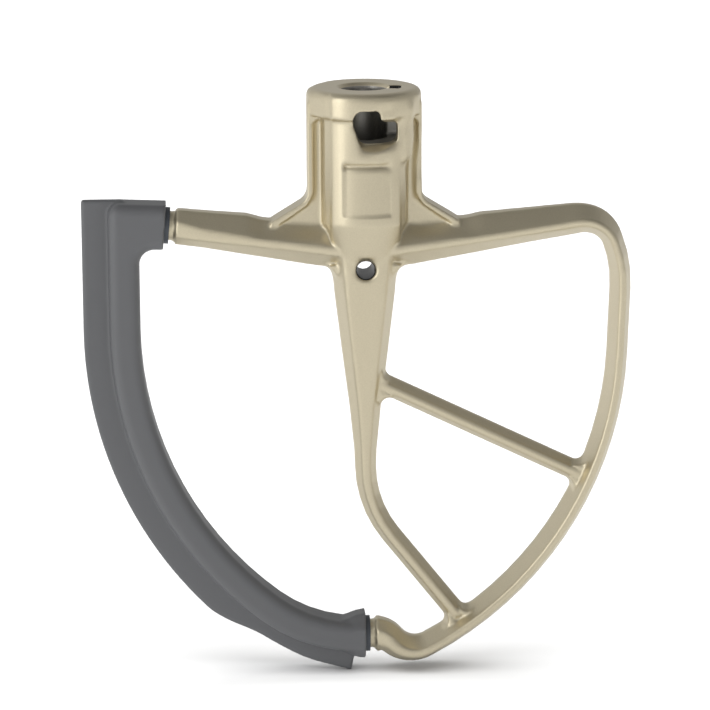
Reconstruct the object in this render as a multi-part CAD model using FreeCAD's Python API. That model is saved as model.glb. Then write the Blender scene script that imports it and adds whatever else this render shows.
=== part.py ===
import FreeCAD, Part
import math
import os

# Flat beater for a stand mixer, in millimetres.
# The origin is on the bore axis at the hub's top face, +Z runs up the bore, +X points to
# the open metal loop, and the soft scraping edge lies at -X. The front faces -Y.

# Hub
collar_radius = 16.2
collar_height = 7.4
collar_rim = 2.0
rim_steps = 3
barrel_radius = 14.8
barrel_flank = 12.2
barrel_draft = 0.8
barrel_bottom = -37.6
cone_bottom = -50.0
cone_half_width = 5.4
cone_front = 9.2
cone_edge = 1.2
bore_radius = 6.45
bore_depth = 36.0
mouth_radius = 7.3
mouth_depth = 1.0

# Pin slot and bayonet window in the hub
pin_slot_width = 5.2
pin_slot_reach = 10.4
pin_slot_azimuth = -9.0
window_left = -3.6
window_right = 4.7
window_top = -4.7
channel_right = 8.8
channel_top = -8.1
window_bottom = -14.0
window_lean = 2.0
window_corners = [2.4, 0.9, 1.0, 0.9, 0.9, 1.6, 2.0]
sill_drop = 3.4
sill_reach = 11.6
bulge_radius = 2.6
bulge_x = 11.2
bulge_y = -8.6
bulge_bottom = -17.6

# Bare recessed field on the hub's front
field_width = 13.8
field_top = -21.0
field_bottom = -35.5
field_floor = 12.75
field_corner = 1.5

# Webs between the hub and the arms
web_edge = 16.1
web_half_depth = 4.6
web_floor = 3.2
web_rim = 1.2
web_turn_z = -30.5
web_turn_radius = 4.5
web_tuck = 4.0
panel_tuck = 2.0
panel_inner_x = 9.8
panel_corner = 0.8
flare_end_x = 26.6
flare_end_z = -36.9
flare_rim = 1.9

# Arms: their upper and lower edges are straight lines that rise away from the hub
arm_top_z = -39.0
arm_top_rise = 0.09
arm_bottom_z = -52.9
arm_bottom_rise = 0.17
ridge_drop = 0.7

arm_half_depth = 8.8
arm_edge = 3.0
arm_corner = 0.8
ridge_land = 1.8
left_arm_rows = [
    (-46.0, 6.2, 3.2, 2.2, 1.4),
    (-32.0, 7.6, 2.2, 2.6, 0.9),
    (-18.0, 8.3, 1.9, 3.0, 0.8),
    (-5.0, 8.8, 1.9, 3.0, 0.8),
]

# Open loop: a straight arm, a corner, a straight side, one long arc, a hook and a swan neck
loop_start_x = 5.0
loop_half_depth = 8.0
ridge_run = 25.0
arm_run = 55.4
corner_radius = 10.0
corner_turn = 76.1
shoulder_radius = 34.8
shoulder_turn = 23.6
side_run = 18.6
loop_radius = 102.7
loop_turn = 59.7
hook_radius = 8.8
hook_turn = 73.6
swan_radius = 5.6

# Section sizes: width, half depth, land, half flat at the parting plane, land shift and corner
shoulder_sizes = (9.9, 4.95, 4.0, 2.0, 0.0, 1.5)
ridge_mid_sizes = (11.35, 8.3, ridge_land, 2.6, -ridge_drop, 0.7)
arm_end_sizes = (8.9, loop_half_depth, ridge_land, 1.2, 0.0, 0.6)
side_sizes = (6.0, loop_half_depth, ridge_land, 0.7, 0.0, 0.5)
low_sizes = (7.1, 7.8, ridge_land, 0.9, 0.0, 0.6)
hook_sizes = (8.3, 6.2, 2.8, 1.6, 0.0, 1.0)

# Spindle and cross hole: rows of height, width, half depth, land and corner
spindle_rows = [
    (-43.0, 20.4, 9.0, 13.6, 2.0),
    (-52.5, 18.7, 8.9, 12.4, 2.0),
    (-61.5, 16.6, 8.1, 10.6, 1.8),
    (-76.0, 13.1, 7.0, 7.4, 1.4),
    (-92.0, 9.0, 5.8, 3.8, 1.0),
    (-105.0, 6.4, 4.9, 2.2, 0.7),
    (-109.8, 6.05, 4.7, 2.0, 0.6),
]
spindle_edge = 0.9
bend_radius = 33.0
bend_turn = 38.4
cross_hole_radius = 2.65
cross_hole_z = -51.2
cross_hole_rim = 1.0
cross_hole_face = 9.1

# Bars between the spindle and the loop
bar_half_depth = 4.4
diagonal_sizes = (5.8, bar_half_depth, 2.0, 0.8, 0.0, 0.6)
diagonal_run = 31.0
cross_bar_sizes = (5.7, bar_half_depth, 2.0, 0.8, 0.0, 0.6)
cross_bar_z = -83.2
cross_bar_slope = 25.8
cross_bar_run = 72.5
bar_fillet = 2.6
arm_fillet = 4.0
arm_fill_x = 40.0
arm_fill_half_depth = 6.5
fill_hold = 0.8
fill_fall = 1.2

# Arcs are cut into stations by both of these, and corners up to the last are flat
arc_step = 9.5
chord_limit = 6.5
small_corner = 1.0
tiny = 0.001

# Line that the soft edge, its carrier and the core bar follow
side_x = -68.05
side_end_z = -69.0
big_radius = 104.0
big_sweep = 52.4
small_radius = 42.0
upper_face_x = -56.5
upper_face_z = -38.85
neck_tilt = 4.6
core_elbow_radius = 5.2
cuff_climb = 2.4
lower_face_x = -0.3

# Necks, core bar and carrier
neck_diameter = 8.3
neck_bite = 6.0
neck_show = 1.8
neck_lap = 1.0
core_width = 4.4
core_depth = 8.0
carrier_wall = 0.8
ring_diameter = 10.4
ring_length = 1.3
ring_bite = 4.0

# Soft edge
body_width = 8.6
body_half_depth = 6.5
body_edge_round = 2.8
elbow_outer_radius = 3.3
elbow_inner_radius = 4.3
upper_cuff_width = 12.8
edge_top_z = -31.3
cuff_cover = 1.0
blade_reach = 7.6
blade_thickness = 2.8
blade_kink_angle = 45.0
blade_step_in = [(-40.3, -154.9), (-36.6, -156.7), (-33.2, -158.2), (-27.9, -161.3), (-19.2, -166.2)]
blade_end_way = (0.96, -0.27)
blade_end = (-4.4, -170.9)
blade_end_top = (-3.3, -165.0)

# Lower cuff: rows of the distance back from its end face, rise, and section sizes
lower_cuff_rows = [
    (8.3, 0.37, (8.0, 6.2, 4.2, 3.2, 0.0, 1.6)),
    (5.3, 0.15, (10.2, 6.5, 4.6, 3.1, 0.0, 1.8)),
    (2.7, 0.0, (12.6, 6.6, 5.8, 3.0, 0.0, 2.0)),
    (0.0, 0.0, (13.5, 6.75, 6.0, 3.0, 0.0, 2.0)),
]


def at(x, z, y=0.0):
    """A point from its place in the front view and its depth."""
    return FreeCAD.Vector(x, y, z)


def unit(vector):
    """The same direction with length one."""
    copy = FreeCAD.Vector(vector)
    return copy.normalize()


def rounded_wire(corners, radii):
    """A closed outline with arcs of the given radii at its corners, or flats where they are small."""
    count = len(corners)
    starts = []
    middles = []
    ends = []
    for i in range(count):
        here = corners[i]
        back = unit(corners[i - 1] - here)
        ahead = unit(corners[(i + 1) % count] - here)
        half = back.getAngle(ahead) / 2
        reach = radii[i] / math.tan(half)
        starts.append(here + back * reach)
        ends.append(here + ahead * reach)
        middles.append(here + unit(back + ahead) * (radii[i] / math.sin(half) - radii[i]))
    edges = []
    for i in range(count):
        if radii[i] > small_corner:
            edges.append(Part.Arc(starts[i], middles[i], ends[i]).toShape())
        elif radii[i] > 0:
            edges.append(Part.makeLine(starts[i], ends[i]))
        edges.append(Part.makeLine(ends[i], starts[(i + 1) % count]))
    return Part.Wire(edges)


def prism(wire, y_from, y_to):
    """The solid between two depths whose front view is the wire."""
    flat = Part.Face(wire)
    flat.translate(FreeCAD.Vector(0, y_from, 0))
    return flat.extrude(FreeCAD.Vector(0, y_to - y_from, 0))


def bar_section(centre, heading, width, half_depth, land, edge, shift, corner):
    """The eight-sided section of a cast bar, widest at the parting plane.

    The land is the narrow front and back face, the edge is half the flat at the parting
    plane, and the shift moves the land sideways. The corners of the lands are rounded.
    """
    across = left_of(heading)
    deep = FreeCAD.Vector(0, 1, 0)
    half = width / 2
    places = [
        (half, -edge, 0), (half, edge, 0),
        (shift + land / 2, half_depth, corner), (shift - land / 2, half_depth, corner),
        (-half, edge, 0), (-half, -edge, 0),
        (shift - land / 2, -half_depth, corner), (shift + land / 2, -half_depth, corner),
    ]
    corners = [centre + across * n + deep * y for n, y, radius in places]
    return rounded_wire(corners, [radius for n, y, radius in places])


def left_of(heading):
    """The direction a quarter turn to the left of a heading in the front view."""
    return FreeCAD.Vector(-heading.z, 0, heading.x)


def bar(stations):
    """A cast bar through stations of centre, heading and section sizes."""
    wires = [bar_section(centre, heading, *sizes) for centre, heading, sizes in stations]
    return Part.makeLoft(wires, True, True)


def blend(first, last, share):
    """Sizes part of the way from the first to the last."""
    return [a + (b - a) * share for a, b in zip(first, last)]


def route(start, heading_angle, first_sizes, pieces):
    """Stations along straight runs and arcs, with sizes that change evenly in each piece.

    A run is ("run", length, sizes) and an arc is ("arc", radius, turn in degrees, sizes),
    where a turn to the left is positive.
    """
    place = start
    angle = heading_angle
    sizes = first_sizes
    stations = [(place, direction(angle), sizes)]
    for piece in pieces:
        last_sizes = piece[-1]
        if piece[0] == "run":
            place = place + direction(angle) * piece[1]
            stations.append((place, direction(angle), last_sizes))
        else:
            radius, turn = piece[1], piece[2]
            side = 1 if turn > 0 else -1
            centre = place + left_of(direction(angle)) * radius * side
            length = radius * math.radians(abs(turn))
            steps = math.ceil(max(abs(turn) / arc_step, length / chord_limit))
            for step in range(1, steps + 1):
                now = angle + turn * step / steps
                spot = centre - left_of(direction(now)) * radius * side
                stations.append((spot, direction(now), blend(sizes, last_sizes, step / steps)))
            angle += turn
            place = stations[-1][0]
        sizes = last_sizes
    return stations


def direction(angle):
    """The unit vector at an angle above +X in the front view."""
    return at(math.cos(math.radians(angle)), math.sin(math.radians(angle)))


def edge_line(stations, side):
    """The outline of a bar at the parting plane: side 1 is its left, side -1 its right."""
    return [centre + left_of(heading) * (side * sizes[0] / 2)
            for centre, heading, sizes in stations]


def crossing(point, way, line):
    """Where a straight line from a point first meets an outline, and the outline's direction."""
    found = None
    for one, two in zip(line, line[1:]):
        step = two - one
        bottom = way.x * step.z - way.z * step.x
        if abs(bottom) < 1e-9:
            continue
        gap = one - point
        along = (gap.x * step.z - gap.z * step.x) / bottom
        share = (gap.x * way.z - gap.z * way.x) / bottom
        if along > 0 and -1e-6 <= share <= 1 + 1e-6 and (found is None or along < found[0]):
            found = (along, point + way * along, unit(step))
    return found[1], found[2]


def corner_fill(corner, along_a, along_b, radius, half_depth, recede):
    """The rounded fill of an inside corner, which falls back with the draft of its walls."""
    a = unit(along_a)
    b = unit(along_b)
    inward = unit(a + b)
    half = a.getAngle(b) / 2
    reach = radius / math.tan(half)
    wires = []
    for depth, fall in ((0.0, 0.0), (half_depth, recede)):
        tip = corner - inward * fall
        start = tip + a * reach
        end = tip + b * reach
        middle = tip + inward * (radius / math.sin(half) - radius)
        root = tip - inward * fill_hold
        wire = Part.Wire([
            Part.Arc(start, middle, end).toShape(),
            Part.makeLine(end, root),
            Part.makeLine(root, start),
        ])
        wire.translate(FreeCAD.Vector(0, -depth, 0))
        wires.append(wire)
    front = Part.makeLoft(wires, True, True)
    back = front.mirror(FreeCAD.Vector(0, 0, 0), FreeCAD.Vector(0, 1, 0))
    return [front, back]


def arm_top(x):
    return arm_top_z + arm_top_rise * abs(x)


def arm_bottom(x):
    return arm_bottom_z + arm_bottom_rise * abs(x)


def on_arc(centre, radius, angle):
    """A point of the soft edge's arcs, by the angle turned below the horizontal."""
    return centre - direction(angle) * radius


big_centre = at(side_x + big_radius, side_end_z)
small_centre = on_arc(big_centre, big_radius - small_radius, big_sweep)
low_point = on_arc(small_centre, small_radius, 90)


def line_arc(centre, radius, from_angle, to_angle):
    """An arc of the soft edge between two angles turned below the horizontal."""
    return Part.Arc(on_arc(centre, radius, from_angle),
                    on_arc(centre, radius, (from_angle + to_angle) / 2),
                    on_arc(centre, radius, to_angle)).toShape()


def rounded_corner(before, corner, after, radius):
    """The arc that rounds a corner between two points."""
    a = unit(before - corner)
    b = unit(after - corner)
    half = a.getAngle(b) / 2
    reach = radius / math.tan(half)
    middle = corner + unit(a + b) * (radius / math.sin(half) - radius)
    return Part.Arc(corner + a * reach, middle, corner + b * reach).toShape()


def elbow_outlines(half_width, outer_radius, inner_radius, top_end, low_end):
    """The outer and the inner outline of an elbow, from the upper cuff down to the long arc."""
    outer_x = side_x - half_width
    inner_x = side_x + half_width
    outer_corner = at(outer_x, elbow_top(top_end, outer_x))
    inner_corner = at(inner_x, elbow_top(low_end, inner_x))
    outer_side = at(outer_x, side_end_z)
    inner_side = at(inner_x, side_end_z)
    outer_arc = rounded_corner(top_end, outer_corner, outer_side, outer_radius)
    inner_arc = rounded_corner(inner_side, inner_corner, low_end, inner_radius)
    outer = [
        Part.makeLine(top_end, outer_arc.Vertexes[0].Point),
        outer_arc,
        Part.makeLine(outer_arc.Vertexes[1].Point, outer_side),
    ]
    inner = [
        Part.makeLine(inner_side, inner_arc.Vertexes[0].Point),
        inner_arc,
        Part.makeLine(inner_arc.Vertexes[1].Point, low_end),
    ]
    return outer, inner


def hidden_bar(width, depth):
    """A bar inside the soft edge from cuff to cuff, whose ends stop within the cuffs' sleeves."""
    half = width / 2
    top_end = upper_face - upper_way * cuff_cover + upper_side * half
    low_end = upper_face - upper_way * cuff_cover - upper_side * half
    outer, inner = elbow_outlines(half, core_elbow_radius + half, core_elbow_radius - half,
                                  top_end, low_end)
    low_outer = on_arc(small_centre, small_radius + half, 90)
    low_inner = on_arc(small_centre, small_radius - half, 90)
    end_outer = at(lower_face_x - cuff_cover, low_outer.z)
    end_inner = at(lower_face_x - cuff_cover, low_inner.z)
    outline = Part.Wire([Part.makeLine(low_end, top_end)] + outer + [
        line_arc(big_centre, big_radius + half, 0, big_sweep),
        line_arc(small_centre, small_radius + half, big_sweep, 90),
        Part.makeLine(low_outer, end_outer),
        Part.makeLine(end_outer, end_inner),
        Part.makeLine(end_inner, low_inner),
        line_arc(small_centre, small_radius - half, 90, big_sweep),
        line_arc(big_centre, big_radius - half, big_sweep, 0),
    ] + inner)
    return prism(outline, -depth / 2, depth / 2)


def elbow_top(cuff_end, x):
    """The height of a line of the upper cuff, which climbs outwards with the neck's tilt."""
    return cuff_end.z + (cuff_end.x - x) * math.tan(math.radians(cuff_climb))


def round_bar(centre, way, diameter, back, ahead):
    """A round bar along a direction, from behind the centre to ahead of it."""
    return Part.makeCylinder(diameter / 2, back + ahead, centre - way * back, way)


upper_face = at(upper_face_x, upper_face_z)
upper_way = direction(-neck_tilt)
upper_side = left_of(upper_way)
lower_face = at(lower_face_x, low_point.z)
lower_way = at(1, 0)


def barrel_ring(z, flank, front, flank_depth):
    """A level section of the hub: round at its front and back, with two drafted flats."""
    middle = flank + barrel_draft
    front_left = at(-flank, z, -flank_depth)
    front_right = at(flank, z, -flank_depth)
    back_left = at(-flank, z, flank_depth)
    back_right = at(flank, z, flank_depth)
    return Part.Wire([
        Part.Arc(front_left, at(0, z, -front), front_right).toShape(),
        Part.makeLine(front_right, at(middle, z)),
        Part.makeLine(at(middle, z), back_right),
        Part.Arc(back_right, at(0, z, front), back_left).toShape(),
        Part.makeLine(back_left, at(-middle, z)),
        Part.makeLine(at(-middle, z), front_left),
    ])


def hub_blank():
    """Collar, barrel with drafted flanks, and the cone that runs into the spindle."""
    profile = [at(0, 0), at(0, -collar_height), at(collar_radius, -collar_height)]
    rim_centre = at(collar_radius - collar_rim, -collar_rim)
    for step in range(rim_steps + 1):
        profile.append(rim_centre + direction(90 * step / rim_steps) * collar_rim)
    turned = Part.Face(Part.makePolygon(profile + profile[:1]))
    collar = turned.revolve(FreeCAD.Vector(0, 0, 0), FreeCAD.Vector(0, 0, 1), 360)

    flank_depth = math.sqrt(barrel_radius ** 2 - barrel_flank ** 2)
    upper = barrel_ring(-collar_height / 2, barrel_flank, barrel_radius, flank_depth)
    lower = barrel_ring(barrel_bottom, barrel_flank, barrel_radius, flank_depth)
    tip = barrel_ring(cone_bottom, cone_half_width, cone_front, cone_front - cone_edge)
    barrel = Part.makeLoft([upper, lower], True, True)
    cone = Part.makeLoft([lower, tip], True, True)
    bulge = Part.makeCylinder(bulge_radius, -bulge_bottom - collar_height / 2,
                              at(bulge_x, bulge_bottom, bulge_y))
    bulge_link = Part.makeSphere(bulge_radius, at(bulge_x, bulge_bottom, bulge_y))
    return [collar, barrel, cone, bulge, bulge_link]


def webs():
    """The thin webs with raised rims that carry the arms, one on each side of the hub."""
    solids = []
    for side in (1, -1):
        outline = [
            at(0, -collar_height / 2),
            at(side * web_edge, -collar_height / 2),
            at(side * web_edge, web_turn_z),
            at(side * flare_end_x, flare_end_z),
            at(side * flare_end_x, arm_bottom(flare_end_x) + web_tuck),
            at(0, arm_bottom_z + web_tuck),
        ]
        plate = prism(rounded_wire(outline, [0, 0, web_turn_radius, 0, 0, 0]),
                      -web_half_depth, web_half_depth)
        flare = unit(outline[3] - outline[2])
        in_normal = at(-side * abs(flare.z), -abs(flare.x))
        top_corner = web_edge - web_rim
        shift = web_rim * (1 - abs(flare.z)) / abs(flare.x)
        pocket = [
            at(side * panel_inner_x, -collar_height - web_rim),
            at(side * top_corner, -collar_height - web_rim),
            at(side * top_corner, web_turn_z - shift),
            outline[3] + in_normal * flare_rim,
            at(side * flare_end_x, arm_bottom(flare_end_x) + panel_tuck),
            at(side * panel_inner_x, arm_bottom(0) + panel_tuck),
        ]
        wire = rounded_wire(pocket, [0, panel_corner, web_turn_radius + web_rim, 0, 0, 0])
        plate = plate.cut(prism(wire, -web_half_depth - 1, -web_floor))
        plate = plate.cut(prism(wire, web_floor, web_half_depth + 1))
        solids.append(plate)
    return solids


def left_arm():
    """The arm that carries the soft edge: ridged at the hub and round at its shoulder."""
    end = upper_face + upper_way * (ring_length + neck_show)
    stations = [(end, upper_way, shoulder_sizes)]
    for x, half_depth, land, edge, corner in left_arm_rows:
        top = arm_top(x)
        bottom = arm_bottom(x)
        sizes = (top - bottom, half_depth, land, edge, -ridge_drop, corner)
        stations.append((at(x, (top + bottom) / 2), at(1, 0), sizes))
    return bar(stations)


def loop_stations():
    """The open metal loop: right arm, corner, side, lower curve, hook and lower shoulder."""
    top = arm_top(loop_start_x)
    bottom = arm_bottom(loop_start_x)
    rise = math.degrees(math.atan((arm_top_rise + arm_bottom_rise) / 2))
    first = (top - bottom, arm_half_depth, ridge_land, arm_edge, -ridge_drop, arm_corner)
    pieces = [
        ("run", ridge_run, ridge_mid_sizes),
        ("run", arm_run - ridge_run, arm_end_sizes),
        ("arc", corner_radius, -corner_turn, side_sizes),
        ("arc", shoulder_radius, -shoulder_turn, side_sizes),
        ("run", side_run, side_sizes),
        ("arc", loop_radius, -loop_turn, low_sizes),
        ("arc", hook_radius, -hook_turn, hook_sizes),
        ("arc", swan_radius, hook_turn + loop_turn + shoulder_turn + corner_turn - rise - 180,
         shoulder_sizes),
    ]
    stations = route(at(loop_start_x, (top + bottom) / 2), rise, first, pieces)
    end = lower_face + lower_way * (ring_length + neck_show)
    return stations[:-1] + [(end, at(-1, 0), shoulder_sizes)]


def spindle_stations():
    """The tapering middle spindle, which turns into the lower diagonal bar."""
    stations = []
    for z, width, half_depth, land, corner in spindle_rows:
        stations.append((at(0, z), at(0, -1), (width, half_depth, land, spindle_edge, 0.0, corner)))
    start = stations[-1]
    pieces = [("arc", bend_radius, bend_turn, diagonal_sizes),
              ("run", diagonal_run, diagonal_sizes)]
    return stations[:-1] + route(start[0], -90, start[2], pieces)


def cross_bar_stations():
    """The straight upper bar between the spindle and the loop."""
    return route(at(0, cross_bar_z), -cross_bar_slope, cross_bar_sizes,
                 [("run", cross_bar_run, cross_bar_sizes)])


def corner_fills(loop, spindle, cross):
    """Rounded inside corners where the bars, the spindle, the arms and the loop meet."""
    inner = edge_line(loop, -1)
    right = edge_line(spindle, 1)
    left = edge_line(spindle, -1)
    bar_way = cross[0][1]
    diagonal_way = spindle[-1][1]
    fills = []
    for side in (1, -1):
        line = edge_line(cross, side)
        spot, way = crossing(line[1], bar_way * -1, right)
        fills += corner_fill(spot, bar_way, way * -side, bar_fillet, bar_half_depth, fill_fall)
        spot, way = crossing(line[0], bar_way, inner)
        fills += corner_fill(spot, bar_way * -1, way * -side, bar_fillet, bar_half_depth, fill_fall)
    for side, line in ((1, right), (-1, left)):
        spot, way = crossing(line[-2], diagonal_way, inner)
        fills += corner_fill(spot, diagonal_way * -1, way * -side, bar_fillet, bar_half_depth,
                             fill_fall)
    for side, line in ((1, right), (-1, left)):
        arm_way = unit(at(-side, -arm_bottom_rise))
        spot, way = crossing(at(side * arm_fill_x, arm_bottom(arm_fill_x)), arm_way, line)
        fills += corner_fill(spot, arm_way * -1, way, arm_fillet, arm_fill_half_depth, fill_fall)
    return fills


def hub_cuts():
    """Bore with its countersunk mouth, pin slot, bayonet window and the bare field."""
    cuts = [
        Part.makeCylinder(bore_radius, bore_depth + 1, at(0, -bore_depth)),
        Part.makeCone(bore_radius, mouth_radius, mouth_depth, at(0, -mouth_depth)),
    ]
    slot = Part.makeBox(pin_slot_reach, pin_slot_width, 1 - window_bottom,
                        FreeCAD.Vector(0, -pin_slot_width / 2, window_bottom))
    slot.rotate(FreeCAD.Vector(0, 0, 0), FreeCAD.Vector(0, 0, 1), pin_slot_azimuth)
    cuts.append(slot)
    groove = Part.makeCylinder(pin_slot_reach, channel_top - window_bottom, at(0, window_bottom),
                               FreeCAD.Vector(0, 0, 1), 90 + pin_slot_azimuth)
    groove.rotate(FreeCAD.Vector(0, 0, 0), FreeCAD.Vector(0, 0, 1), -90)
    cuts.append(groove)
    outline = [
        at(window_left, window_top),
        at(window_right, window_top),
        at(window_right, channel_top),
        at(channel_right, channel_top),
        at(channel_right, window_bottom),
        at(window_left + window_lean, window_bottom),
        at(window_left, (window_top + window_bottom) / 2),
    ]
    cuts.append(prism(rounded_wire(outline, window_corners), -collar_radius - 1, 0))
    sill = Part.Wire(Part.makePolygon([
        at(window_left + window_lean, window_bottom + 1, -sill_reach),
        at(window_left + window_lean, window_bottom, -sill_reach),
        at(window_left + window_lean, window_bottom - sill_drop, -collar_radius),
        at(window_left + window_lean, window_bottom + 1, -collar_radius),
        at(window_left + window_lean, window_bottom + 1, -sill_reach),
    ]))
    cuts.append(Part.Face(sill).extrude(at(channel_right - window_left - window_lean, 0)))
    half = field_width / 2
    field = [at(-half, field_top), at(half, field_top), at(half, field_bottom),
             at(-half, field_bottom)]
    cuts.append(prism(rounded_wire(field, [field_corner] * 4), -collar_radius - 1, -field_floor))
    return cuts


def cross_hole():
    """The hole through the spindle, with a rounded rim on both faces."""
    hole = Part.makeCylinder(cross_hole_radius, 2 * collar_radius,
                             at(0, cross_hole_z, -collar_radius), FreeCAD.Vector(0, 1, 0))
    cuts = [hole]
    for side in (1, -1):
        cuts.append(Part.makeCone(cross_hole_radius, cross_hole_radius + 2 * cross_hole_rim,
                                  2 * cross_hole_rim,
                                  at(0, cross_hole_z, side * (cross_hole_face - cross_hole_rim)),
                                  FreeCAD.Vector(0, side, 0)))
    return cuts


def core():
    """The core bar inside the soft edge, with the round necks that leave it."""
    ahead = ring_length + neck_show + neck_lap
    return [
        hidden_bar(core_width, core_depth),
        round_bar(upper_face, upper_way, neck_diameter, neck_bite, ahead),
        round_bar(lower_face, lower_way, neck_diameter, neck_bite, ahead),
    ]


def beater_frame():
    """The whole die casting as one solid."""
    loop = loop_stations()
    spindle = spindle_stations()
    cross = cross_bar_stations()
    solids = hub_blank() + webs() + [left_arm(), bar(loop), bar(spindle), bar(cross)]
    solids += corner_fills(loop, spindle, cross) + core()
    blank = solids[0].fuse(solids[1:])
    return blank.cut(hub_cuts() + cross_hole()).removeSplitter()


def carrier_blank():
    """The hard sleeve over the core bar before its inside is taken out."""
    tube = hidden_bar(core_width + 2 * carrier_wall, core_depth + 2 * carrier_wall)
    upper = round_bar(upper_face, upper_way, ring_diameter, ring_bite, ring_length)
    lower = round_bar(lower_face, lower_way, ring_diameter, ring_bite, ring_length)
    return tube.fuse([upper, lower])


def edge_body():
    """The soft body: a rounded elbow with its cuff, the straight side and the two arcs."""
    half = body_width / 2
    top_end = upper_face + upper_side * upper_cuff_width / 2
    low_end = upper_face - upper_side * upper_cuff_width / 2
    outer, inner = elbow_outlines(half, elbow_outer_radius, elbow_inner_radius, top_end, low_end)
    across = Part.makeLine(at(side_x - half, side_end_z), at(side_x + half, side_end_z))
    outline = Part.Wire([Part.makeLine(low_end, top_end)] + outer + [across] + inner)
    elbow = prism(outline, -body_half_depth, body_half_depth)
    long_edges = []
    for edge in elbow.Edges:
        middle = at(edge.CenterOfMass.x, edge.CenterOfMass.z)
        level = edge.BoundBox.YLength < tiny
        at_cuff = (middle - upper_face).Length < tiny
        at_side = (middle - at(side_x, side_end_z)).Length < tiny
        if level and not at_cuff and not at_side:
            long_edges.append(edge)
    elbow = elbow.makeFillet(body_edge_round, long_edges)
    stations = route(at(side_x, side_end_z), -90, (), [
        ("arc", big_radius, big_sweep, ()),
        ("arc", small_radius, 90 - big_sweep, ()),
        ("run", lower_face_x - cuff_cover - low_point.x, ()),
    ])
    wires = [body_section(centre, heading) for centre, heading, sizes in stations]
    return elbow.fuse(Part.makeLoft(wires, True, True))


def body_section(centre, heading):
    """The rounded section of the soft body."""
    across = left_of(heading) * (body_width / 2)
    deep = FreeCAD.Vector(0, body_half_depth, 0)
    corners = [centre + across - deep, centre + across + deep,
               centre - across + deep, centre - across - deep]
    return rounded_wire(corners, [body_edge_round] * 4)


def lower_cuff():
    """The lower cuff, which widens from the body's section to its round end."""
    return bar([(at(lower_face_x - back, low_point.z + rise), lower_way, sizes)
                for back, rise, sizes in lower_cuff_rows])


def blade():
    """The thin scraping blade, which steps in near the bowl's floor."""
    reach = big_radius + body_width / 2 + blade_reach
    kink = on_arc(big_centre, reach, blade_kink_angle)
    edge_x = big_centre.x - reach
    step_in = Part.BSplineCurve()
    step_in.interpolate([kink] + [at(*place) for place in blade_step_in] + [at(*blade_end)],
                        InitialTangent=direction(blade_kink_angle - 90),
                        FinalTangent=at(*blade_end_way))
    outline = Part.Wire([
        Part.makeLine(at(side_x, edge_top_z), at(edge_x, edge_top_z)),
        Part.makeLine(at(edge_x, edge_top_z), at(edge_x, side_end_z)),
        line_arc(big_centre, reach, 0, blade_kink_angle),
        step_in.toShape(),
        Part.makeLine(at(*blade_end), at(*blade_end_top)),
        Part.makeLine(at(*blade_end_top), low_point),
        line_arc(small_centre, small_radius, 90, big_sweep),
        line_arc(big_centre, big_radius, big_sweep, 0),
        Part.makeLine(at(side_x, side_end_z), at(side_x, edge_top_z)),
    ])
    return prism(outline, -blade_thickness / 2, blade_thickness / 2)


def report(name, shape):
    """Print what the solid measures."""
    box = shape.BoundBox
    print(name, "solids", len(shape.Solids), "faces", len(shape.Faces), "valid", shape.isValid(),
          "volume %.0f" % shape.Volume,
          "x %.2f %.2f y %.2f %.2f z %.2f %.2f" % (box.XMin, box.XMax, box.YMin, box.YMax,
                                                  box.ZMin, box.ZMax))


def main():
    os.makedirs("parts", exist_ok=True)
    frame = beater_frame()
    blank = carrier_blank()
    carrier = blank.cut(core())
    edge = edge_body().fuse([lower_cuff(), blade()]).cut([blank] + core()).removeSplitter()
    parts = {"beater_frame": frame, "edge_carrier": carrier, "scraper_edge": edge}
    for name, shape in parts.items():
        report(name, shape)
        shape.exportStep("parts/" + name + ".step")


main()
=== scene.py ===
import math

import bpy
import numpy as np
from mathutils import Matrix, Vector


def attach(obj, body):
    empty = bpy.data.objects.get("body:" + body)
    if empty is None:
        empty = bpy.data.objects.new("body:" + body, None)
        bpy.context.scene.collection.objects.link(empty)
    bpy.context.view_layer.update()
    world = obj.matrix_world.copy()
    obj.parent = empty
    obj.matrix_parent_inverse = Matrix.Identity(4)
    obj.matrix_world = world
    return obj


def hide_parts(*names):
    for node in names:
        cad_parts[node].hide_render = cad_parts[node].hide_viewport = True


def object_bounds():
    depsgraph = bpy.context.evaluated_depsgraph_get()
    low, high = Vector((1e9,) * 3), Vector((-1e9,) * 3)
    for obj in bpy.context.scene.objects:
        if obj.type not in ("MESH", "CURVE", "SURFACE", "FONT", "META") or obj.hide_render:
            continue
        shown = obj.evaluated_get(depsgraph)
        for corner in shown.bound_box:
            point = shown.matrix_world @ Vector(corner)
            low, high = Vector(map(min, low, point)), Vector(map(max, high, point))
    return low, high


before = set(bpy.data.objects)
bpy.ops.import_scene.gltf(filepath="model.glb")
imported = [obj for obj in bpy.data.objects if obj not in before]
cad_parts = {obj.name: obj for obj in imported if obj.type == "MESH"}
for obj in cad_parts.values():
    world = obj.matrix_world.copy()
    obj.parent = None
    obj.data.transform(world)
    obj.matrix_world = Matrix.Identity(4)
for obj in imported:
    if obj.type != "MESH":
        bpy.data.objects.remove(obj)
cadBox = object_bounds()

# The beater is in metres in the frame of the CAD: the hub's top face is at the origin,
# Z runs up the shaft bore, X points to the open loop and the front faces -Y.
mm = 0.001
floorLevel = cadBox[0][2]

# For the skins: corners closer than this are joined, and the strength of a smoothing pass
joinDistance = 0.002 * mm
smoothFactor = 0.5


def node(tree, kind, **values):
    # A shader node with its sockets and options set by name
    made = tree.nodes.new(kind)
    for key, value in values.items():
        if key in made.inputs:
            made.inputs[key].default_value = value
        else:
            setattr(made, key, value)
    return made


def maths(tree, operation, first, second):
    # A maths node: each input is a number or another node's output
    made = node(tree, "ShaderNodeMath", operation=operation)
    for socket, value in zip(made.inputs, (first, second)):
        if isinstance(value, (int, float)):
            socket.default_value = value
        else:
            tree.links.new(value, socket)
    return made.outputs[0]


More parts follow.
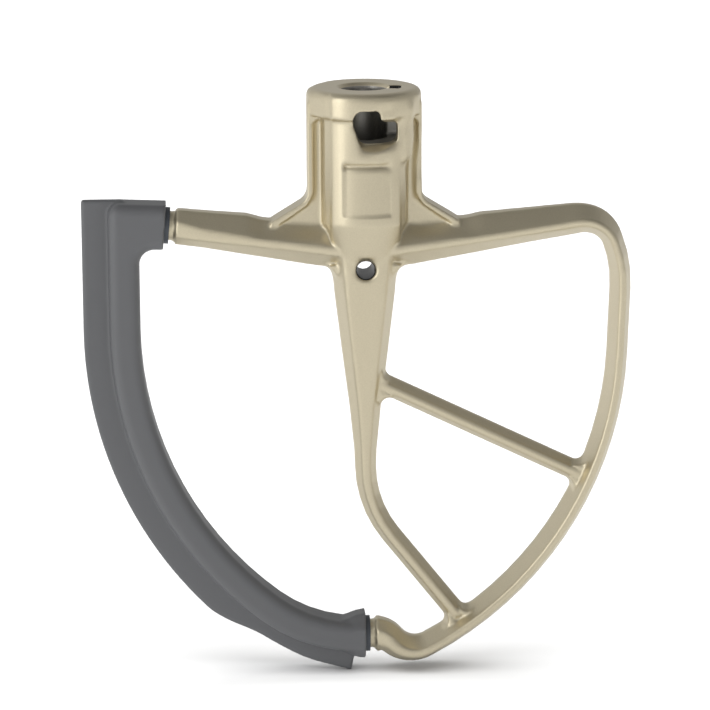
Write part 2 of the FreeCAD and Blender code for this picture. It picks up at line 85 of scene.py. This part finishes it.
def blended(tree, factor, first, second):
    # A mix of two colours: each is four numbers or another node's output
    mix = node(tree, "ShaderNodeMix", data_type="RGBA")
    tree.links.new(factor, mix.inputs["Factor"])
    for name, colour in (("A", first), ("B", second)):
        if isinstance(colour, tuple):
            mix.inputs[name].default_value = colour
        else:
            tree.links.new(colour, mix.inputs[name])
    return mix.outputs["Result"]


def lengthOf(tree, place, centre, keep):
    # How far a point is from the centre, with the axes that keep sets to zero left out
    apart = node(tree, "ShaderNodeVectorMath", operation="SUBTRACT")
    flat = node(tree, "ShaderNodeVectorMath", operation="MULTIPLY")
    reach = node(tree, "ShaderNodeVectorMath", operation="LENGTH")
    apart.inputs[1].default_value = centre
    flat.inputs[1].default_value = keep
    tree.links.new(place, apart.inputs[0])
    tree.links.new(apart.outputs["Vector"], flat.inputs[0])
    tree.links.new(flat.outputs["Vector"], reach.inputs[0])
    return reach.outputs["Value"]


def emptyTree(owner):
    # The node tree of a material or a world, cleared
    owner.use_nodes = True
    owner.node_tree.nodes.clear()
    return owner.node_tree


def newMaterial(name, roughness, metallic=0.0):
    # A material with its shader linked to the output
    material = bpy.data.materials.new(name)
    tree = emptyTree(material)
    output = node(tree, "ShaderNodeOutputMaterial")
    shader = node(tree, "ShaderNodeBsdfPrincipled", Roughness=roughness, Metallic=metallic)
    tree.links.new(shader.outputs["BSDF"], output.inputs["Surface"])
    return material, shader


def grained(tree, place, shader, values):
    # A fine noise in the surface's height
    grain = node(tree, "ShaderNodeTexNoise", Scale=values["grainScale"],
                 Detail=values["grainDetail"])
    bump = node(tree, "ShaderNodeBump", Strength=values["grainStrength"],
                Distance=values["grainHeight"])
    tree.links.new(place, grain.inputs["Vector"])
    tree.links.new(grain.outputs["Fac"], bump.inputs["Height"])
    tree.links.new(bump.outputs["Normal"], shader.inputs["Normal"])


def paint(piece, material):
    # The material in place of those that the piece has
    piece.data.materials.clear()
    piece.data.materials.append(material)


def bake(piece):
    # The piece's modifiers worked into its mesh
    graph = bpy.context.evaluated_depsgraph_get()
    finished = bpy.data.meshes.new_from_object(piece.evaluated_get(graph))
    piece.modifiers.clear()
    piece.data = finished


def softCopy(nodeName, pieceName, values, reshape=None):
    # A copy of a CAD node, its triangles joined at their corners and made a skin of squares as
    # wide as a voxel. The skin is reshaped where asked, then smoothed, which rounds its edges as
    # in a mould, and thinned to the share of its faces where there is one.
    piece = bpy.data.objects.new(pieceName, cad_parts[nodeName].data.copy())
    bpy.context.scene.collection.objects.link(piece)
    weld = piece.modifiers.new("join", "WELD")
    weld.merge_threshold = joinDistance
    skin = piece.modifiers.new("skin", "REMESH")
    skin.mode = "VOXEL"
    skin.voxel_size = values["voxel"]
    skin.use_smooth_shade = True
    if reshape:
        bake(piece)
        reshape(piece)
    smooth = piece.modifiers.new("soften", "SMOOTH")
    smooth.factor = smoothFactor
    smooth.iterations = values["softPasses"]
    if "faceShare" in values:
        thin = piece.modifiers.new("thin", "DECIMATE")
        thin.ratio = values["faceShare"]
    bake(piece)
    faces = len(piece.data.polygons)
    piece.data.polygons.foreach_set("use_smooth", np.ones(faces, bool))
    print(piece.name, "faces", faces, "triangles", len(piece.data.loops) - 2 * faces)
    return piece


def ramp(value, start, end):
    # Zero at the start, one at the end, on a smooth step between
    part = np.clip((value - start) / (end - start), 0, 1)
    return part * part * (3 - 2 * part)


def falloff(distance, reach):
    # One up to half the reach, then down to zero at the reach on a smooth step
    return ramp(2 - 2 * np.abs(distance) / reach, 0, 1)


def shareAround(points, centre, reach):
    # Each point's falloffs from the centre in x, y and z, multiplied
    return np.prod(falloff(points - np.array(centre), np.array(reach)), axis=1)


# The casting: its skin, its coat, and the fine flakes and orange peel in the coat
castingSet = {
    "voxel": 0.5 * mm,
    "softPasses": 3,
    "faceShare": 0.62,
    "coat": (0.69, 0.620, 0.455, 1.0),
    "coatDark": (0.59, 0.525, 0.380, 1.0),
    "flakeScale": 2600.0,
    "flakeDetail": 2.0,
    "grainScale": 900.0,
    "grainDetail": 3.0,
    "grainStrength": 0.12,
    "grainHeight": 0.1 * mm,
    "roughness": 0.38,
    "metallic": 0.85,
}

# Where the casting's coat isn't seen. The bore's wall and the pin slot are bare metal; the
# slot's mouth and the cross hole have painted shade, because little light comes there.
bareAndPaintedShadeSet = {
    "bare": (0.32, 0.31, 0.285, 1.0),
    # painted shade: a near black colour where little light comes
    "shade": (0.03, 0.03, 0.028, 1.0),
    "boreRadius": 7.5 * mm,
    "boreTop": -0.9 * mm,
    "boreBottom": -37.0 * mm,
    "slotRadius": 11.0 * mm,
    "slotTop": -0.15 * mm,
    "mouthBottom": -4.0 * mm,
    "holeRadius": 2.75 * mm,
    "holeHeight": -51.2 * mm,
}


def bareMetalAndPaintedShadeMasks(tree, place):
    # Two masks, each one inside and zero outside: the bare metal, between two radii and two
    # heights around the bore's axis, and the painted shade, in the mouth or the hole's radius
    values = bareAndPaintedShadeSet
    parts = node(tree, "ShaderNodeSeparateXYZ")
    tree.links.new(place, parts.inputs["Vector"])
    height = parts.outputs["Z"]
    fromBore = lengthOf(tree, place, (0, 0, 0), (1, 1, 0))
    fromHole = lengthOf(tree, place, (0, 0, values["holeHeight"]), (1, 0, 1))
    bore = maths(tree, "MULTIPLY", maths(tree, "LESS_THAN", fromBore, values["boreRadius"]),
                 maths(tree, "LESS_THAN", height, values["boreTop"]))
    slot = maths(tree, "MULTIPLY", maths(tree, "LESS_THAN", fromBore, values["slotRadius"]),
                 maths(tree, "GREATER_THAN", fromBore, values["boreRadius"]))
    slot = maths(tree, "MULTIPLY", slot, maths(tree, "LESS_THAN", height, values["slotTop"]))
    deep = maths(tree, "GREATER_THAN", height, values["boreBottom"])
    bare = maths(tree, "MULTIPLY", maths(tree, "MAXIMUM", bore, slot), deep)
    mouth = maths(tree, "MULTIPLY", slot,
                  maths(tree, "GREATER_THAN", height, values["mouthBottom"]))
    hole = maths(tree, "LESS_THAN", fromHole, values["holeRadius"])
    return bare, maths(tree, "MAXIMUM", mouth, hole)


def castingCoat():
    # Satin metallic powder coat: fine flakes in the colour, a faint orange peel in the height
    material, shader = newMaterial("satinMetallicCoat", castingSet["roughness"],
                                   castingSet["metallic"])
    tree = material.node_tree
    place = node(tree, "ShaderNodeTexCoord").outputs["Object"]
    flakes = node(tree, "ShaderNodeTexNoise", Scale=castingSet["flakeScale"],
                  Detail=castingSet["flakeDetail"])
    tree.links.new(place, flakes.inputs["Vector"])
    bare, paintedShade = bareMetalAndPaintedShadeMasks(tree, place)
    colour = blended(tree, flakes.outputs["Fac"], castingSet["coatDark"], castingSet["coat"])
    colour = blended(tree, bare, colour, bareAndPaintedShadeSet["bare"])
    # painted shade over the slot's mouth and the cross hole
    colour = blended(tree, paintedShade, colour, bareAndPaintedShadeSet["shade"])
    tree.links.new(colour, shader.inputs["Base Color"])
    grained(tree, place, shader, castingSet)
    return material


# Small moves of the casting's skin, in mm: centre, how far each reaches, and the move itself
castingMoves = {
    "windowSill": ((1.5, -13.0, -14.2), (10.0, 9.0, 4.0), (0.0, 0.0, -0.4)),
    "leftFlank": ((-12.6, 0.0, -23.0), (3.2, 24.0, 32.0), (0.7, 0.0, 0.0)),
    "rightFlank": ((12.7, 0.0, -31.0), (3.4, 24.0, 17.0), (-0.85, 0.0, 0.0)),
    "windowSide": ((4.9, -14.0, -6.4), (2.6, 7.0, 3.4), (-0.8, 0.0, 0.0)),
    "rightFlare": ((22.0, 0.0, -34.0), (12.0, 12.0, 9.0), (0.0, 0.0, -0.9)),
    "leftFlare": ((-22.0, 0.0, -34.0), (12.0, 12.0, 9.0), (0.0, 0.0, -0.9)),
    "rightArm": ((48.0, 0.0, -33.0), (24.0, 12.0, 13.0), (0.0, 0.0, -0.5)),
}

# The bare field in the hub's front, in mm
fieldSet = {
    "left": -6.6,
    "right": 7.3,
    "top": -20.0,
    "bottom": -35.1,
    "front": -10.0,  # what lies behind this is left alone
    "edge": 0.7,  # how wide the slope is at the sides and the low edge
    "margin": 1.6,  # what lies this near is laid on the barrel too
    "barrel": 14.8,  # the radius of the barrel that the field is cut into
    "scoop": 1.5,  # its depths: under the top edge,
    "scoopHeight": 2.1,
    "floor": 0.5,  # below the scoop,
    "low": 0.35,  # and at the low edge
}

# The boss beside the window, in mm: where it is, and its greatest radius, inside the collar's
bossSet = {
    "left": 5.0,
    "top": -7.6,
    "bottom": -22.0,
    "front": -5.0,
    "radius": 15.75,
}

# Where the casting's skin is smoothed further: centre and reach in mm
softPlaces = {
    "sillEnd": ((-1.8, -13.5, -15.6), (4.4, 6.0, 4.4)),
    "bossEnd": ((11.6, -9.5, -19.6), (7.0, 8.0, 7.0)),
    "bossTop": ((12.2, -10.5, -6.0), (5.0, 5.0, 6.0)),
    "holeRim": ((0.0, -9.0, -48.3), (4.6, 4.0, 2.6)),
    "leftCorner": ((-8.3, 0.0, -53.3), (4.8, 20.0, 5.2)),
    "rightCorner": ((8.8, 0.0, -53.3), (4.8, 20.0, 5.2)),
}

# How that smoothing is done: its passes, and the levels that the weights are rounded up to
placeSet = {
    "passes": 40,
    "levels": 10,
}


def fieldShift(points):
    # How far each point goes in y to lie on the barrel's circle less the field's depth. The
    # depth falls on smooth steps from the scoop's to the floor's and on to the low edge's, and
    # to nothing at the sides and the low edge. Past the margin no point goes anywhere.
    x, y, z = points.T
    values = fieldSet
    margin = values["margin"]
    near = (x > values["left"] - margin) & (x < values["right"] + margin)
    near &= (z > values["bottom"] - margin) & (z < values["top"]) & (y < values["front"])
    inside = ramp(x, values["left"], values["left"] + values["edge"])
    inside = inside * ramp(-x, -values["right"], values["edge"] - values["right"])
    inside = inside * ramp(z, values["bottom"], values["bottom"] + values["edge"])
    down = values["top"] - z
    depth = values["scoop"] + (values["floor"] - values["scoop"]) \
        * ramp(down, 0, values["scoopHeight"])
    depth = depth + (values["low"] - values["floor"]) \
        * ramp(down, values["scoopHeight"], values["top"] - values["bottom"])
    radius = values["barrel"] - depth * inside
    target = -np.sqrt(np.maximum(radius ** 2 - x ** 2, 0))
    return near * (target - y)


def movedPoints(points):
    # Each point moves by the sum of the moves, each times the point's share in it, then in y by
    # the field's shift, and a point of the boss goes in to its greatest radius
    moved = points.copy()
    for centre, reach, shift in castingMoves.values():
        moved += shareAround(points, centre, reach)[:, None] * np.array(shift)
    moved[:, 1] += fieldShift(moved)
    x, y, z = moved.T
    radius = np.hypot(x, y)
    over = (z < bossSet["top"]) & (z > bossSet["bottom"]) & (x > bossSet["left"])
    over &= (y < bossSet["front"]) & (radius > bossSet["radius"])
    moved[:, :2] *= np.where(over, bossSet["radius"] / radius, 1.0)[:, None]
    return moved


def smoothPlaces(piece, points):
    # More smoothing at the soft places: a point's weight is its greatest share in any of them,
    # rounded up to a level
    weight = np.zeros(len(points))
    for centre, reach in softPlaces.values():
        weight = np.maximum(weight, shareAround(points, centre, reach))
    group = piece.vertex_groups.new(name="softPlaces")
    levels = placeSet["levels"]
    for step in range(1, levels + 1):
        chosen = np.flatnonzero((weight > (step - 1) / levels) & (weight <= step / levels))
        group.add(chosen.tolist(), step / levels, "REPLACE")
    blend = piece.modifiers.new("softPlaces", "SMOOTH")
    blend.factor = smoothFactor
    blend.iterations = placeSet["passes"]
    blend.vertex_group = group.name


def reshapeCasting(piece):
    # The skin's points are moved in mm, and then the soft places get their smoothing
    mesh = piece.data
    points = np.empty(len(mesh.vertices) * 3, np.float32)
    mesh.vertices.foreach_get("co", points)
    moved = movedPoints(points.reshape(-1, 3) / mm)
    mesh.vertices.foreach_set("co", (moved * mm).astype(np.float32).ravel())
    mesh.update()
    smoothPlaces(piece, moved)


def castingPiece():
    # The coated casting, in place of its drawn form
    piece = softCopy("beater_frame", "casting", castingSet, reshapeCasting)
    paint(piece, castingCoat())
    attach(piece, "root")
    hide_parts("beater_frame")


# The soft edge: its skin, and its elastomer with a fine grain
edgeSet = {
    "voxel": 0.5 * mm,
    "softPasses": 4,
    "rubber": (0.143, 0.146, 0.152, 1.0),
    "grainScale": 1800.0,
    "grainDetail": 3.0,
    "grainStrength": 0.1,
    "grainHeight": 0.1 * mm,
    "roughness": 0.47,
}


def edgeRubber():
    # Matte grey elastomer
    material, shader = newMaterial("greyElastomer", edgeSet["roughness"])
    tree = material.node_tree
    place = node(tree, "ShaderNodeTexCoord").outputs["Object"]
    grained(tree, place, shader, edgeSet)
    shader.inputs["Base Color"].default_value = edgeSet["rubber"]
    return material


def edgePiece():
    # The soft scraping edge, in place of its drawn form
    piece = softCopy("scraper_edge", "scrapingEdge", edgeSet)
    paint(piece, edgeRubber())
    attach(piece, "root")
    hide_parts("scraper_edge")


# The carrier: its plastic, with no grain
carrierSet = {
    "plastic": (0.075, 0.085, 0.1, 1.0),
    "roughness": 0.5,
}


def carrierPlastic():
    # Bluish dark grey plastic
    material, shader = newMaterial("carrierPlastic", carrierSet["roughness"])
    shader.inputs["Base Color"].default_value = carrierSet["plastic"]
    return material


def carrierFinish():
    # The plastic on the carrier's own mesh
    paint(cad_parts["edge_carrier"], carrierPlastic())


# The floor's half width in metres, and its shade for the camera's rays and for the others
floorSet = {
    "reach": 4.0,
    "seen": 0.405,
    "felt": 0.295,
}


def floorPlane():
    # A square at the part's lowest point; what the suns light on it is white to the camera
    reach = floorSet["reach"]
    corners = [(-reach, -reach), (reach, -reach), (reach, reach), (-reach, reach)]
    mesh = bpy.data.meshes.new("floor")
    mesh.from_pydata([(x, y, floorLevel) for x, y in corners], [], [(0, 1, 2, 3)])
    floor = bpy.data.objects.new("floor", mesh)
    bpy.context.scene.collection.objects.link(floor)
    material = bpy.data.materials.new("paleFloor")
    tree = emptyTree(material)
    output = node(tree, "ShaderNodeOutputMaterial")
    diffuse = node(tree, "ShaderNodeBsdfDiffuse")
    rays = node(tree, "ShaderNodeLightPath")
    shade = node(tree, "ShaderNodeMapRange")
    shade.inputs["To Min"].default_value = floorSet["felt"]
    shade.inputs["To Max"].default_value = floorSet["seen"]
    tree.links.new(rays.outputs["Is Camera Ray"], shade.inputs["Value"])
    tree.links.new(shade.outputs["Result"], diffuse.inputs["Color"])
    tree.links.new(diffuse.outputs["BSDF"], output.inputs["Surface"])
    mesh.materials.append(material)
    return floor


# Tall soft lamps on the floor: degrees from the front, metres away, width, height, watts
lampSet = {
    "leftLamp": (-55.0, 0.72, 0.24, 0.62, 1.05),
    "rightLamp": (60.0, 0.78, 0.34, 0.62, 0.03),
}

# Soft suns that light only the floor and so cast the shadow: strength, degrees across, and
# degrees that they lean to the front
sunSet = {
    "wideSun": (3.0, 150.0, 8.0),
    "narrowSun": (5.9, 76.0, 10.0),
}


def lightHolder(name, kind):
    # A light's object in the scene, with its data under the same name
    holder = bpy.data.objects.new(name, bpy.data.lights.new(name, kind))
    bpy.context.scene.collection.objects.link(holder)
    return holder


def tallLamp(name, azimuth, away, width, height, power):
    # An upright lamp that stands on the floor and faces the part
    holder = lightHolder(name, "AREA")
    holder.data.shape = "RECTANGLE"
    holder.data.size = width
    holder.data.size_y = height
    holder.data.energy = power
    turn = math.radians(azimuth)
    holder.location = (away * math.sin(turn), -away * math.cos(turn), floorLevel + height / 2)
    holder.rotation_euler = (math.radians(90), 0, turn)


def floorSun(name, onlyFloor, strength, across, lean):
    # A sun whose light reaches the floor alone, where the part shades it
    holder = lightHolder(name, "SUN")
    holder.data.energy = strength
    holder.data.angle = math.radians(across)
    holder.rotation_euler = (math.radians(lean), 0, 0)
    holder.light_linking.receiver_collection = onlyFloor


def studioLight(floor):
    # The lamps light everything, and the suns only what is in the floor's collection
    for name, values in lampSet.items():
        tallLamp(name, *values)
    onlyFloor = bpy.data.collections.new("onlyFloor")
    onlyFloor.objects.link(floor)
    for name, values in sunSet.items():
        floorSun(name, onlyFloor, *values)


# The sky as it lights the part: its strengths at the horizon and overhead, the heights on a
# unit sphere between which it dims, and what it gains at the left and loses at the right
skySet = {
    "horizon": 0.70,
    "overhead": 0.31,
    "dimFrom": 0.45,
    "dimTo": 0.93,
    "leftGain": 0.27,
}


def studioWorld():
    # White behind the part; for other rays a sky that dims with height, on a smooth step
    world = bpy.data.worlds.new("studio")
    bpy.context.scene.world = world
    tree = emptyTree(world)
    output = node(tree, "ShaderNodeOutputWorld")
    shown = node(tree, "ShaderNodeBackground", Color=(1, 1, 1, 1), Strength=1.0)
    lit = node(tree, "ShaderNodeBackground", Strength=1.0)
    place = node(tree, "ShaderNodeTexCoord")
    parts = node(tree, "ShaderNodeSeparateXYZ")
    rise = node(tree, "ShaderNodeMapRange", interpolation_type="SMOOTHSTEP")
    rise.inputs["From Min"].default_value = skySet["dimFrom"]
    rise.inputs["From Max"].default_value = skySet["dimTo"]
    rise.inputs["To Min"].default_value = skySet["horizon"]
    rise.inputs["To Max"].default_value = skySet["overhead"]
    rays = node(tree, "ShaderNodeLightPath")
    choose = node(tree, "ShaderNodeMixShader")
    tree.links.new(place.outputs["Generated"], parts.inputs["Vector"])
    tree.links.new(parts.outputs["Z"], rise.inputs["Value"])
    tilt = maths(tree, "MULTIPLY", parts.outputs["X"], -skySet["leftGain"])
    tree.links.new(maths(tree, "ADD", rise.outputs["Result"], tilt), lit.inputs["Strength"])
    tree.links.new(rays.outputs["Is Camera Ray"], choose.inputs["Fac"])
    tree.links.new(lit.outputs["Background"], choose.inputs[1])
    tree.links.new(shown.outputs["Background"], choose.inputs[2])
    tree.links.new(choose.outputs["Shader"], output.inputs["Surface"])


# The camera's place in mm, its turns in degrees, and its near and far limits in metres
cameraSet = {
    "place": (-55.915, -1084.968, 172.391),
    "yaw": 2.8727,  # to the right of +Y
    "pitch": 12.9344,  # down
    "roll": 0.315,
    "lens": 198.13,
    "sensor": 36.0,
    "near": 0.01,
    "far": 20.0,
}


def photoCamera():
    # Turned by its pitch about X, then by its yaw about Z, then by its roll about Y
    camera = bpy.data.cameras.new("camera")
    camera.lens = cameraSet["lens"]
    camera.sensor_width = cameraSet["sensor"]
    camera.clip_start = cameraSet["near"]
    camera.clip_end = cameraSet["far"]
    holder = bpy.data.objects.new("camera", camera)
    bpy.context.scene.collection.objects.link(holder)
    turn = Matrix.Rotation(math.radians(cameraSet["roll"]), 4, "Y") \
        @ Matrix.Rotation(math.radians(-cameraSet["yaw"]), 4, "Z") \
        @ Matrix.Rotation(math.radians(90 - cameraSet["pitch"]), 4, "X")
    holder.matrix_world = Matrix.Translation(Vector(cameraSet["place"]) * mm) @ turn
    bpy.context.scene.camera = holder


bpy.context.scene.view_settings.view_transform = "Standard"
castingPiece()
edgePiece()
carrierFinish()
print("stage: the part's three pieces are dressed")
studioLight(floorPlane())
studioWorld()
photoCamera()
print("stage: floor, lights, world and camera are in place")
